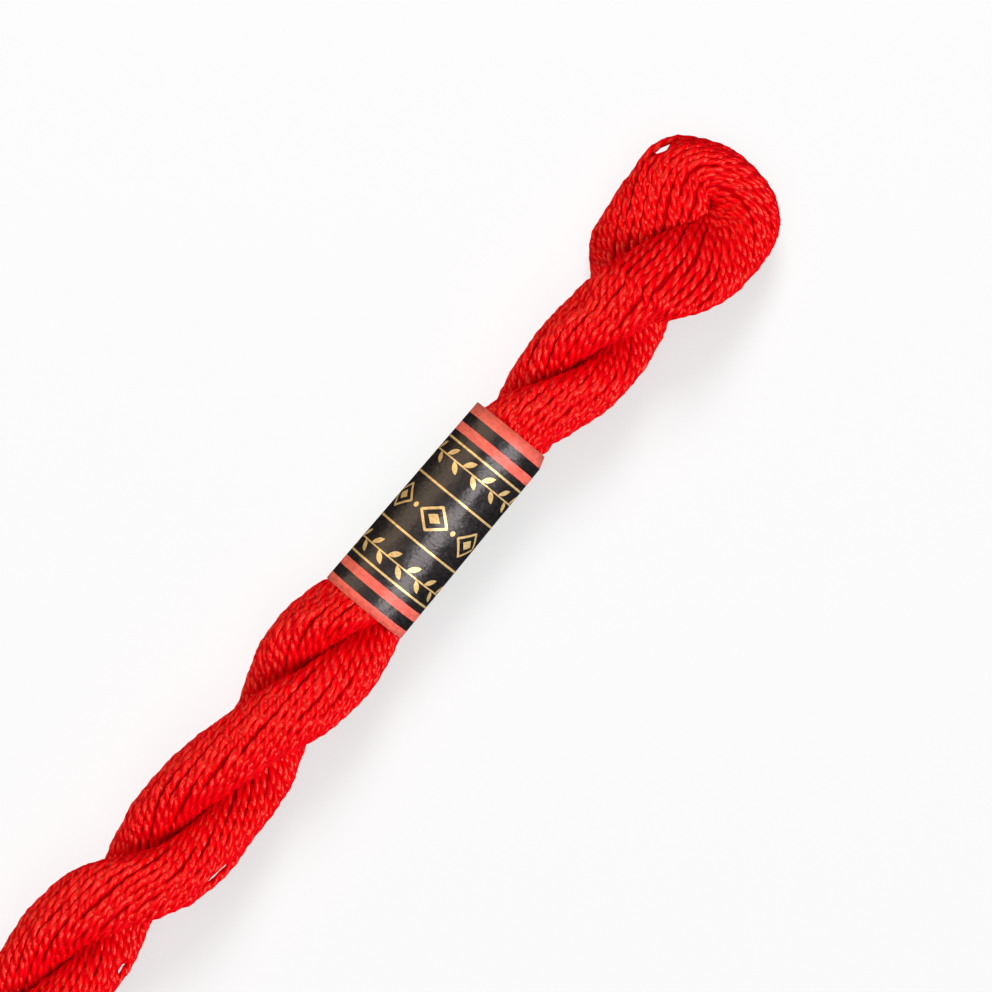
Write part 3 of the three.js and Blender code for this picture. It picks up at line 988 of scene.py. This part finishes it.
def band_motifs(settings):
    """Gold strokes of the print, each a list of point pairs: rules, lozenges, dots and leaves"""
    left, right = stripe_edges(settings)
    first, last = BAND_START + left[-1], BAND_END - right[-1]
    middle = (first + last) / 2
    strokes = []
    inner, outer = RULE["from_middle"], RULE["from_end"]
    for x in (first + outer, middle - inner, middle + inner, last - outer):
        strokes.append(stroke(x, PRINT_GIRTH / 2, 0.0, PRINT_GIRTH, [RULE["width"]] * RULE["pairs"]))
    half = PRINT_GIRTH / LOZENGES / 2
    disc = np.sqrt(1 - np.linspace(-1, 1, FILLED_PAIRS) ** 2)
    for i in range(LOZENGES):
        around = (i + 0.5) * PRINT_GIRTH / LOZENGES
        strokes += lozenge_strokes(middle, around, settings.lozenge / MM)
        strokes.append(stroke(middle, around + half, 0.0, DOT, disc * DOT))
        for x in (first + SPRIG["from_end"], last - SPRIG["from_end"]):
            strokes += sprig_strokes(x, around, half)
    return strokes


def lozenge_strokes(x, around, length):
    """Outline of a lozenge in four strokes, with a smaller filled one in it"""
    half_width = LOZENGE["half_width"]
    slant = math.atan2(half_width, length / 2)
    side = math.hypot(half_width, length / 2) * LOZENGE["overlap"]
    strokes = []
    for side_x in (-1, 1):
        for side_s in (-1, 1):
            strokes.append(stroke(
                x + side_x * half_width / 2, around + side_s * length / 4, -side_x * side_s * slant, side,
                [LOZENGE["line"]] * LOZENGE["pairs"],
            ))
    taper = 1 - np.abs(np.linspace(-1, 1, FILLED_PAIRS))
    heart_length = length * LOZENGE["heart_share"]
    strokes.append(stroke(x, around, 0.0, heart_length, taper * LOZENGE["heart_width"]))
    return strokes


def sprig_strokes(x, around, half):
    """Stem of a sprig round the band, with two pairs of leaves"""
    strokes = [stroke(x, around, 0.0, 2 * half, [SPRIG["stem"]] * SPRIG["pairs"])]
    leaf = np.sin(np.linspace(0, np.pi, FILLED_PAIRS)) ** 0.8
    for step in (-0.5, 0.5):
        for side_x in (-1, 1):
            strokes.append(stroke(
                x + side_x * SPRIG["leaf_x"], around + (step + side_x * SPRIG["stagger"]) * half,
                side_x * SPRIG["lean"], SPRIG["leaf_length"], leaf * SPRIG["leaf_width"],
            ))
    return strokes


def build_print(settings, inks):
    """Gold ink: a row of lozenges round the band between sprigs of leaves and thin rules"""
    points, faces = [], []
    for pairs in band_motifs(settings):
        start = len(points)
        angle = PRINT_START + 2 * np.pi * pairs[..., 1] / PRINT_GIRTH
        points.extend(band_point(pairs[..., 0], angle, -INK_LIFT).reshape(-1, 3))
        for i in range(len(pairs) - 1):
            a = start + 2 * i
            faces.append((a, a + 1, a + 3, a + 2))
    ink = mesh_object("band_print", np.array(points), faces, [inks[GOLD]])
    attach(ink, "root")
    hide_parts("band")


class SKEIN_OT_stage(bpy.types.Operator):
    """Set up the floor, the lights and the camera over the banded end"""

    bl_idname = "skein.stage"
    bl_label = "Set the stage"

    def execute(self, context):
        settings = context.scene.stage_settings
        scene = context.scene
        corners = FLOOR_REACH * np.array([(-1, -1, 0), (1, -1, 0), (1, 1, 0), (-1, 1, 0)])
        board = studio_floor("matt_white_board", settings.floor)
        floor = mesh_object("floor", corners, [(0, 1, 2, 3)], [board])
        floor.visible_glossy = False
        aim = Vector((settings.view_x, settings.view_y, BAND_MID_Z * MM))
        add_camera(scene, settings, aim)
        add_lights(scene, aim, floor)
        scene.view_settings.view_transform = "Standard"
        scene.view_settings.look = "None"
        world = bpy.data.worlds.new("studio_surround")
        scene.world = world
        world.use_nodes = True
        background = world.node_tree.nodes["Background"]
        background.inputs["Color"].default_value = (1.0, 1.0, 1.0, 1.0)
        background.inputs["Strength"].default_value = 0.02
        return {"FINISHED"}


def add_camera(scene, settings, aim):
    """Camera straight above the banded end"""
    data = bpy.data.cameras.new("camera")
    data.sensor_width = 36.0
    data.lens = data.sensor_width * settings.camera_height / settings.view_width
    data.clip_start = 0.01
    data.clip_end = 20.0
    camera = bpy.data.objects.new("camera", data)
    camera.location = aim + Vector((0, 0, settings.camera_height))
    camera.rotation_euler = (0, 0, settings.roll)
    scene.collection.objects.link(camera)
    scene.camera = camera


def link_group(name, floor, state):
    """Collection for light linking that takes in the floor alone, or all but the floor"""
    group = bpy.data.collections.new(name)
    group.objects.link(floor)
    group.collection_objects[0].light_linking.link_state = state
    return group


def add_lights(scene, aim, floor):
    """Softboxes for the skein, and an even light and a shadow light for the floor alone"""
    floor_only = link_group("floor_only", floor, "INCLUDE")
    all_but_floor = link_group("all_but_floor", floor, "EXCLUDE")
    for name, *measures in LIGHTS:
        light = add_square_light(scene, aim, name, *measures)
        lit = all_but_floor if name.endswith("softbox") else floor_only
        light.light_linking.receiver_collection = lit
        if name == "floor_light":
            light.light_linking.blocker_collection = floor_only


def add_square_light(scene, aim, name, tilt, turn, away, size, power, colour):
    """Square area light aimed at the skein, tilted from straight above"""
    data = bpy.data.lights.new(name, "AREA")
    data.shape = "SQUARE"
    data.size = size
    data.energy = power
    data.color = colour
    light = bpy.data.objects.new(name, data)
    tilt, turn = math.radians(tilt), math.radians(turn)
    towards = Vector((
        math.sin(tilt) * math.cos(turn), math.sin(tilt) * math.sin(turn), math.cos(tilt)
    ))
    light.location = aim + towards * away
    light.rotation_euler = towards.to_track_quat("Z", "Y").to_euler()
    light.visible_camera = False
    scene.collection.objects.link(light)
    return light


class SKEIN_PT_panel(bpy.types.Panel):
    """Sidebar panel with the pieces of the skein in the order they are made"""

    bl_label = "Skein"
    bl_idname = "SKEIN_PT_panel"
    bl_space_type = "VIEW_3D"
    bl_region_type = "UI"
    bl_category = "Skein"

    def draw(self, context):
        for group in SETTINGS:
            settings = getattr(context.scene, group)
            for name in settings.__annotations__:
                self.layout.prop(settings, name)
        for operator in OPERATORS:
            self.layout.operator(operator.bl_idname)


SETTINGS = {"hank_settings": HankSettings, "band_settings": BandSettings, "stage_settings": StageSettings}
OPERATORS = (SKEIN_OT_core, SKEIN_OT_threads, SKEIN_OT_band, SKEIN_OT_stage)
CLASSES = (*SETTINGS.values(), *OPERATORS, SKEIN_PT_panel)


def register():
    """Register the classes and hang the settings on the scene"""
    for cls in CLASSES:
        bpy.utils.register_class(cls)
    for name, group in SETTINGS.items():
        setattr(bpy.types.Scene, name, PointerProperty(type=group))


def unregister():
    """Take the settings and the classes away again"""
    for name in SETTINGS:
        delattr(bpy.types.Scene, name)
    for cls in reversed(CLASSES):
        bpy.utils.unregister_class(cls)


def main():
    """Make every piece in order"""
    register()
    bpy.ops.skein.core()
    bpy.ops.skein.threads()
    bpy.ops.skein.band()
    bpy.ops.skein.stage()


if __name__ == "__main__":
    main()
